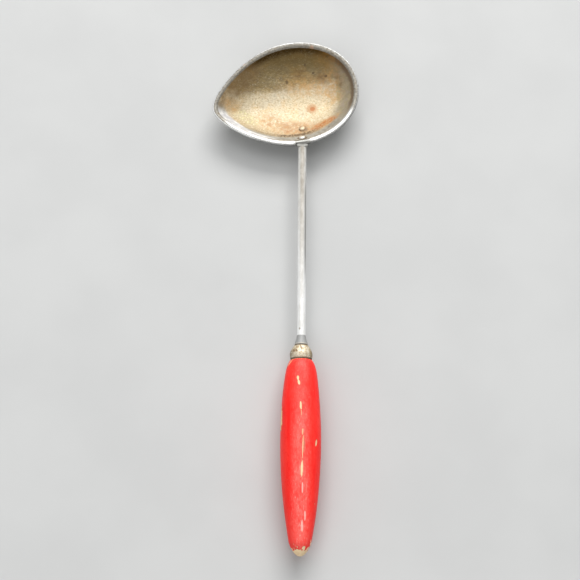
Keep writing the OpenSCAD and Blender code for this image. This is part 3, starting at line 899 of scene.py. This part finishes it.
def lip_finish(look, colour, fine, metal=0.85):
    ease = look.ease
    rust = look.either(
        look.patch((14.9, 31.0), (1.2, 1.3), 0, 0.8, 0.8, 0.6, seed=34),
        ease(look.noise(4, 4, 0.7, seed=35), 0.63, 0.71, 0, 0.6),
    )
    return look.finish(
        look.coats(colour, ((0.5, 0.3, 0.19), rust, 0.7)),
        ease(fine, 0.3, 0.7, 0.34, 0.5),
        look.times(ease(rust, 0.2, 0.8, 1.0, 0.35), metal),
        (look.noise(0.4, 2, 0.6, seed=33), 0.015), (fine, 0.05))


def flange_look():
    """Painted reflections: bright on the near side, which mirrors the back light, and dull grey on the far
    side, which mirrors the dark room; also dull round the pouring end, and stained on the far side.
    """
    look, fine = lip_start("tinned_flange")
    ease = look.ease
    broad = look.noise(9, 3, 0.5, seed=31)
    far = look.either(
        ease(look.plus(look.y, (look.x, 0.14), (broad, 5.0)), 0, 5),
        ease(look.plus(look.x, (broad, 5.0)), -28, -33),
    )
    dull = look.mix(ease(fine, 0.36, 0.62), (0.34, 0.315, 0.26), (0.19, 0.165, 0.13))
    colour = look.coats(
        look.mix(ease(broad, 0.4, 0.62), (0.84, 0.84, 0.82), (0.72, 0.72, 0.7)),
        ((0.48, 0.46, 0.42), ease(fine, 0.52, 0.68, 0, 0.5)),
        # painted dark reflection over the far side and round the pouring end
        (dull, far, 0.92),
        ((0.19, 0.14, 0.085), far, ease(look.noise(2.6, 3, seed=36), 0.54, 0.66, 0, 0.6)),
        # painted dark reflection where the lip lies flat over the tang
        (TANG_GREY, over_tang(look), ease(fine, 0.3, 0.7, 1.0, 0.75)),
    )
    return lip_finish(look, colour, fine, ease(far, 0, 1, 0.85, 0.35))


def groove_look():
    look, fine = lip_start("lip_groove")
    # painted shade: the narrow groove is given a dark grey
    colour = look.mix(look.ease(fine, 0.36, 0.62), (0.26, 0.25, 0.23), (0.12, 0.11, 0.095))
    return lip_finish(look, colour, fine, 0.5)


def edge_look():
    """The turned-down outer edge, painted for its reflections: grey on the near side, which mirrors the
    shaded table, paler on the far side, which mirrors the back light, and near white at the pouring end,
    painted light over the shade there.
    """
    look, fine = lip_start("lip_edge")
    ease = look.ease
    broad = look.noise(9, 3, 0.5, seed=31)
    painted_light = look.mix(ease(fine, 0.4, 0.64), (0.54, 0.54, 0.52), (0.36, 0.35, 0.33))
    grey = look.mix(ease(fine, 0.4, 0.64), (0.42, 0.42, 0.41), (0.31, 0.305, 0.29))
    colour = look.coats(
        grey,
        # painted light at the pouring end, lifting the shade the edge falls in there
        ((0.9, 0.9, 0.88), ease(look.x, -12, -24, 0, 0.8)),
        # painted reflection of the back light on the far side
        (painted_light, ease(look.plus(look.y, (broad, 6.0)), -4, 8)),
        # painted dark reflection where the lip lies flat over the tang
        (TANG_GREY, over_tang(look)),
    )
    return lip_finish(look, colour, fine)


def bowl_outside_look():
    look = Look("tinned_outside")
    ease = look.ease
    broad = look.noise(16, 3, 0.5, seed=41)
    cloud = look.noise(5, seed=42)
    fine = look.noise(1.4, 4, 0.65, seed=43)
    scuff = look.noise(0.9, 4, 0.65, (1, 0.12, 1), seed=44, twist=0.5)
    rust = look.times(ease(cloud, 0.56, 0.68), ease(fine, 0.44, 0.64))
    colour = look.coats(
        look.mix(ease(broad, 0.38, 0.64), (0.62, 0.6, 0.54), (0.47, 0.455, 0.41)),
        ((0.4, 0.33, 0.22), ease(cloud, 0.5, 0.7, 0, 0.6)),
        ((0.38, 0.2, 0.1), rust, 0.7),
        # scuffed where it rests on the table
        ((0.72, 0.71, 0.67), ease(look.z, 1.6, 0.15), ease(scuff, 0.44, 0.64, 0, 0.7)),
    )
    rough = look.plus(ease(fine, 0.3, 0.7, 0.34, 0.52), (rust, 0.2))
    return look.finish(colour, rough, ease(rust, 0.1, 0.9, 0.8, 0.15), (fine, 0.07), (scuff, 0.03))


def shank_look():
    look = Look("shank_steel")
    ease = look.ease
    drawn = look.noise(1.1, 3, 0.6, (1, 0.06, 1), seed=51)
    fine = look.noise(0.5, 3, 0.6, (1, 0.1, 1), seed=52)
    blotch = look.noise(3.2, 4, 0.6, (1, 0.5, 1), seed=53)
    across = look.off(look.x, AXIS_X)
    bright = look.mix(ease(blotch, 0.4, 0.66), (0.97, 0.97, 0.96), (0.9, 0.9, 0.885))
    dull = look.mix(ease(blotch, 0.4, 0.66), (0.86, 0.85, 0.81), (0.74, 0.72, 0.67))
    # a brownish streak along the top fades away from the bowl, and the right side is shaded
    streak = look.times(ease(across, 1.9, 0.5), ease(look.y, LIP_Y - 95, LIP_Y - 10, 0.35, 1.0))
    shade = look.times(
        ease(look.x, AXIS_X + 0.9, AXIS_X + 1.9), ease(look.y, LIP_Y - 90, LIP_Y - 60),
        ease(look.y, LIP_Y - 14, LIP_Y - 34, 0.3, 1.0))
    spots = look.either(
        ease(look.noise(0.9, 2, 0.5, seed=54), 0.7, 0.76, 0, 0.7),
        look.patch((AXIS_X - 0.9, LIP_Y - 107.6), (0.4, 0.55), 0, 0.4, 0.6, 0.6),
    )
    # the collar is painted dark grey, a painted dark reflection of its flare, with a painted highlight along
    # its front edge and painted shade where it meets the ferrule
    collar_y = FERRULE_Y + COLLAR_LEN
    collar = look.coats(
        look.mix(ease(across, 0.2, 2.4), (0.29, 0.29, 0.285), (0.3, 0.3, 0.29)),
        ((0.52, 0.48, 0.41), ease(look.y, FERRULE_Y + 1.3, FERRULE_Y + 0.7, 0, 0.8)),
    )
    colour = look.coats(
        look.mix(ease(look.y, LIP_Y - 88, LIP_Y - 8), bright, dull),
        ((0.52, 0.49, 0.44), ease(drawn, 0.52, 0.7, 0, 0.35)),
        ((0.37, 0.335, 0.285), streak, ease(blotch, 0.34, 0.6, 0.7, 0.95)),
        ((0.27, 0.265, 0.25), shade, 0.85),
        ((0.2, 0.15, 0.11), spots, 0.8),
        (collar, ease(look.y, collar_y + 0.3, collar_y - 0.3, 0, 0.9)),
        # painted shade on the shoulder just under the lip's edge
        ((0.27, 0.265, 0.245), ease(look.y, LIP_Y - 1.6, LIP_Y - 0.5, 0, 0.85)),
        # painted shade in the step where the collar meets the ferrule
        ((0.09, 0.07, 0.05), ease(look.y, FERRULE_Y + 0.5, FERRULE_Y + 0.1, 0, 0.85)),
    )
    rough = ease(blotch, 0.3, 0.7, 0.6, 0.72)
    return look.finish(colour, rough, ease(spots, 0.2, 0.8, 0.62, 0.2), (fine, 0.02), (drawn, 0.035))


def rivet_look():
    look = Look("rivet_tin")
    ease = look.ease
    cloud = look.noise(2.2, seed=61)
    fine = look.noise(0.6, 3, seed=62)
    colour = look.coats(
        look.mix(ease(cloud, 0.42, 0.62), (0.62, 0.5, 0.35), (0.45, 0.335, 0.21)),
        ((0.3, 0.2, 0.12), ease(fine, 0.54, 0.7, 0, 0.6)),
        # the rivet at the lip is painted pale: tin wiped bright, and a painted highlight of the back light
        ((0.74, 0.73, 0.69), ease(look.y, LIP_Y + 8, LIP_Y + 5, 0, 0.8)),
    )
    return look.finish(colour, ease(fine, 0.3, 0.7, 0.46, 0.62), 0.6, (fine, 0.05))


def ferrule_look():
    look = Look("ferrule_plate")
    ease, x, y = look.ease, AXIS_X, FERRULE_Y
    broad = look.noise(4.5, 3, 0.5, seed=71)
    fine = look.noise(0.9, 4, 0.65, seed=72)
    slant = look.noise(0.55, 3, 0.55, (1.0, 0.75, 0.3), seed=73, twist=0.4)
    spun = look.noise(0.28, 2, 0.5, (0.05, 1, 0.05), seed=74)
    patchy = look.noise(1.5, 4, 0.65, seed=79)
    side = look.off(look.x, x)
    scratch = look.times(ease(slant, 0.6, 0.66), ease(look.y, y - 3, y - 5))
    # painted light: the middle of the lower half is painted paler, standing in for stronger overhead light
    painted_light = look.times(ease(look.y, y - 3.2, y - 6.2), ease(side, 5.0, 3.6))
    marks = look.either(
        look.patches(
            0.7, 0.6, 75,
            ((x - 0.1, y - 2.0), (0.4, 1.6), 16, 0.8),
            ((x - 4.0, y - 3.9), (0.7, 0.8), 0, 0.8),
            ((x - 2.6, y - 3.9), (0.45, 0.9), 20, 0.8),
        ),
        ease(look.noise(1.7, 3, seed=78), 0.66, 0.72, 0, 0.7),
    )
    # grime and painted shade at both ends, where the ferrule meets the collar and the handle
    ends_grime_and_shade = look.either(
        ease(look.y, y - 0.9, y - 0.1), ease(look.y, FERRULE_LOW[1] + 1.0, FERRULE_LOW[1] + 0.5))
    colour = look.coats(
        look.mix(ease(broad, 0.4, 0.62), (0.74, 0.66, 0.5), (0.6, 0.505, 0.35)),
        ((0.36, 0.255, 0.14), ease(fine, 0.48, 0.62, 0, 0.75)),
        # painted shade: darker towards both flanks
        ((0.15, 0.12, 0.06), ease(side, 3.9, 6.0, 0, 0.8)),
        ((0.46, 0.27, 0.18), scratch, 0.7),
        ((0.4, 0.27, 0.13), ease(patchy, 0.5, 0.62, 0, 0.65)),
        ((0.86, 0.8, 0.68), ease(patchy, 0.46, 0.36, 0, 0.7)),
        # painted light over the lower half
        ((0.84, 0.77, 0.62), painted_light, ease(fine, 0.42, 0.58, 0.6, 0.2)),
        ((0.2, 0.12, 0.06), marks, 0.85),
        ((0.11, 0.065, 0.03), ends_grime_and_shade, 0.85),
    )
    shine = ease(look.either(marks, ends_grime_and_shade), 0.1, 0.9, 0.6, 0.15)
    return look.finish(
        colour, ease(fine, 0.3, 0.7, 0.48, 0.64), shine,
        (spun, 0.02), (fine, 0.06), (look.either(marks, scratch), -0.05))


def paint_look():
    """Red paint over pale wood: chipped on the crown, rubbed through at the shoulder, gone at the tail."""
    look = Look("painted_wood")
    ease, chip, x, y = look.ease, look.patch, AXIS_X, HANDLE_Y
    grain = look.noise(1.3, 4, 0.6, (1, 0.05, 1), seed=81, twist=0.3)
    fibre = look.noise(0.35, 3, 0.6, (1, 0.03, 1), seed=82)
    rings = look.noise(1.6, 3, 0.6, (1, 0.02, 0.45), seed=108)
    broad = look.noise(11, 3, 0.5, (1, 0.45, 1), seed=83)
    brush = look.noise(0.8, 3, 0.6, (1, 0.05, 1), seed=84)
    mottle = look.noise(2.6, 4, 0.6, (1, 0.5, 1), seed=85)
    edge = look.noise(0.9, 3, 0.6, (1, 0.35, 1), seed=86)
    flecks = look.noise(0.75, 3, 0.7, (1, 0.45, 1), seed=109)

    wood = look.coats(
        look.mix(ease(grain, 0.38, 0.66), (0.92, 0.68, 0.41), (0.78, 0.52, 0.28)),
        ((0.58, 0.36, 0.18), ease(fibre, 0.52, 0.72, 0, 0.5)),
        # painted light: the wood is painted paler towards the tail, which faces away from the back light
        ((1.0, 0.76, 0.47), ease(look.y, HANDLE_LOW[1] + 12, HANDLE_LOW[1] + 7, 0, 0.65)),
        ((0.66, 0.42, 0.2), ease(rings, 0.5, 0.6, 0, 0.3)),
    )
    # the crown of the handle is paler: paint rubbed by hands, and a painted highlight of the overhead light
    # along it, stronger towards the tail; with fine scratches near the tail
    above = look.times(ease(look.off(look.x, x), 7.0, 1.0), ease(look.z, AXIS_Z + 2, AXIS_Z + 6))
    rubbed_and_highlight = look.times(above, ease(mottle, 0.28, 0.64, 0.35), ease(look.y, y - 14, y - 44, 0.45, 1.0))
    scratch = look.times(
        ease(look.noise(0.5, 3, 0.6, (1, 0.04, 1), seed=105), 0.6, 0.68), above,
        ease(look.y, y - 30, y - 75, 0.1, 0.55))
    thin = look.either(
        chip((x + 2.4, y - 84.4), (0.45, 2.6), 0, 0.9, seed=96),
        chip((x + 0.9, y - 90.0), (0.6, 3.0), 0, 0.9, seed=97),
        chip((x + 1.0, y - 70.0), (0.4, 3.0), 0, 0.9, seed=107),
    )
    paint = look.coats(
        look.mix(ease(broad, 0.36, 0.64), (0.93, 0.012, 0.008), (0.96, 0.026, 0.017)),
        ((0.97, 0.065, 0.045), ease(brush, 0.46, 0.7, 0, 0.3)),
        ((0.84, 0.008, 0.005), ease(mottle, 0.5, 0.72, 0, 0.3)),
        ((0.8, 0.004, 0.003), ease(flecks, 0.46, 0.36, 0, 0.45)),
        ((0.97, 0.165, 0.135), rubbed_and_highlight, ease(flecks, 0.38, 0.6, 0.65, 0.95)),
        ((0.98, 0.34, 0.29), rubbed_and_highlight, ease(flecks, 0.56, 0.66, 0, 0.35)),
        ((0.98, 0.42, 0.36), scratch),
        ((0.97, 0.6, 0.52), thin, ease(look.z, AXIS_Z, AXIS_Z + 2, 0, 0.6)),
    )

    top_chips = look.patches(
        1.2, 0.25, 87,
        ((x - 1.7, y - 11.4), (0.62, 1.25), 4, 0.5),
        ((x - 1.2, y - 13.9), (0.62, 1.45), 12, 0.5),
        ((x - 0.1, y - 26.6), (0.55, 2.3), 3, 0.6),
        ((x + 0.2, y - 30.4), (0.3, 1.8), 3, 0.9, 0.7),
        ((x + 1.0, y - 40.6), (0.42, 1.9), -4, 1.0, 0.8),
        ((x + 1.1, y - 48.6), (0.36, 5.8), -2, 0.9, 0.85),
        ((x + 0.6, y - 60.4), (0.66, 4.4), -2, 0.7),
        ((x + 1.9, y - 48.0), (0.25, 3.4), -3, 1.4, 0.5),
        ((x + 8.2, y - 46.2), (0.42, 1.9), -8, 0.8, 0.85),
    )
    top_chips = look.times(top_chips, ease(look.z, AXIS_Z + 1, AXIS_Z + 2))
    left_side = look.times(
        chip((x - 10.95, y - 30.0), (0.9, 8.5), 1, 0.8, 2.0, seed=98),
        ease(look.plus(look.z, (edge, 5.0)), AXIS_Z + 2.6, AXIS_Z + 3.0))
    # the side that faces the table has chips of its own
    below = look.times(look.either(
        chip((x + 2.6, y - 22), (0.8, 3.4), 4, 0.8, seed=99),
        chip((x - 3.8, y - 47), (1.1, 4.6), -5, 0.9, seed=100),
        chip((x + 1.0, y - 66), (0.7, 5.4), 2, 0.9, seed=101),
        chip((x - 1.4, y - 36), (2.3, 6.0), 0, 1.3, 1.6, seed=102),
    ), ease(look.z, AXIS_Z - 1, AXIS_Z - 2))
    # bare tail, with a torn edge that is higher on one side
    jag = look.noise(2.0, 2, 0.5, (1, 0.25, 1), seed=106)
    torn = look.plus(
        look.y, (edge, 1.6), (ease(jag, 0.36, 0.62), 2.4), (ease(look.x, x + 4.8, x + 5.7), -3.4))
    tail_y = y - HANDLE_LEN
    # worn ring round the shoulder, and a rubbed line running from it
    ring = ease(look.plus(look.maths("SUBTRACT", y, look.y), (edge, 1.6)), 1.05, 0.85)
    rub = look.times(
        chip((x - 6.9, y - 3.3), (0.26, 4.2), -38, 0.4, 1.4, 0.5, seed=103),
        ease(look.z, AXIS_Z + 1.5, AXIS_Z + 3.5, 0, 0.85))
    nicks = ease(look.noise(0.9, 3, 0.5, (1, 0.3, 1), seed=104), 0.73, 0.76, 0, 0.8)
    bare = look.either(
        top_chips, left_side, below, ease(torn, tail_y + 6.1, tail_y + 5.7), ring, rub, nicks)
    # the paint is darker just where it breaks off
    broken = look.times(ease(bare, 0.02, 0.4), ease(bare, 0.95, 0.5))
    colour = look.coats(look.mix(bare, paint, wood), ((0.36, 0.045, 0.025), broken, 0.5))
    rough = look.plus(ease(bare, 0.2, 0.8, 0.42, 0.75), (ease(mottle, 0.35, 0.65), 0.08))
    return look.finish(
        colour, rough, 0.0, (brush, 0.03), (grain, 0.05), (bare, -0.12),
        Specular_IOR_Level=0.22, Coat_Weight=0.03, Coat_Roughness=0.35)


# ---- stage ----

def floor():
    """A plain pale floor, large enough to fill every view."""
    half = 2500.0
    points = [(-half, -half, 0), (half, -half, 0), (half, half, 0), (-half, half, 0)]
    look = Look("pale_floor")
    soft = look.noise(60, 3, 0.5, seed=200)
    colour = look.mix(look.ease(soft, 0.3, 0.7), (0.515, 0.515, 0.508), (0.54, 0.54, 0.532))
    pale = look.finish(colour, 0.85, 0.0, Specular_IOR_Level=0.25)
    return make_piece("floor", points, [(0, 1, 2, 3)], [pale])


def softbox(name, place, target, size, power):
    """A soft rectangular light, in metres and watts, that faces its target."""
    light = bpy.data.lights.new(name, "AREA")
    light.shape = "RECTANGLE"
    light.size, light.size_y = size
    light.energy = power
    lamp = bpy.data.objects.new(name, light)
    lamp.location = Vector(place)
    lamp.rotation_mode = "QUATERNION"
    lamp.rotation_quaternion = (Vector(target) - Vector(place)).to_track_quat("-Z", "Y")
    bpy.context.scene.collection.objects.link(lamp)


def studio():
    # a broad soft light from behind the bowl, and a wide, weaker one overhead
    softbox("back_light", (0.3, 2.0, 1.5), (0.0, -0.05, 0.0), (2.0, 1.0), 70.0)
    softbox("top_light", (0.0, 0.75, 1.8), (0.0, -0.08, 0.0), (2.8, 1.4), 17.0)
    softbox("front_light", (-0.7, -1.1, 1.5), (0.0, -0.15, 0.0), (1.6, 1.0), 6.0)
    world = bpy.data.worlds.new("studio")
    world.use_nodes = True
    sky = world.node_tree.nodes["Background"]
    sky.inputs["Color"].default_value = (0.95, 0.98, 1.0, 1)
    sky.inputs["Strength"].default_value = 0.41
    bpy.context.scene.world = world


def camera():
    """Stands over the handle and looks steeply down towards the bowl."""
    pitch, yaw = math.radians(74.805), math.radians(0.451)
    view = bpy.data.cameras.new("camera")
    view.lens = 80.7
    view.sensor_width = 36.0
    view.clip_start = 0.01
    stand = bpy.data.objects.new("camera", view)
    stand.location = (0.005, -0.3007, 0.7052)
    stand.rotation_euler = (math.pi / 2 - pitch, 0, yaw)
    bpy.context.scene.collection.objects.link(stand)
    bpy.context.scene.camera = stand


# ---- the ladle ----

def place(piece, slot, *nodes):
    """Puts a piece on the root body and hides the CAD nodes it stands for. The slot is not used."""
    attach(piece, "root")
    if nodes:
        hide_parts(*nodes)


camera()
studio()
floor()

bowl_looks = bowl_inside_look(), flange_look(), groove_look(), edge_look(), bowl_outside_look()
place(bowl(*bowl_looks), "tinned_bowl", "bowl")
place(shank(shank_look()), "shank_steel", "shank")
rivet_metal = rivet_look()
tang_tip = RIVET_YS[1] + TANG_TIP
# both rivets are one CAD node, which the first stands for
for name, y, nodes in (("rivet_near_lip", RIVET_YS[0], ["rivets"]), ("rivet_on_wall", RIVET_YS[1], [])):
    piece = rivet(name, y, float(tang_thickness(y, tang_tip)), rivet_metal)
    place(piece, "rivet_steel", *nodes)
place(ferrule(ferrule_look()), "ferrule_metal", "ferrule")
place(handle(paint_look()), "painted_wood", "handle")

bpy.context.scene.view_settings.view_transform = "Standard"
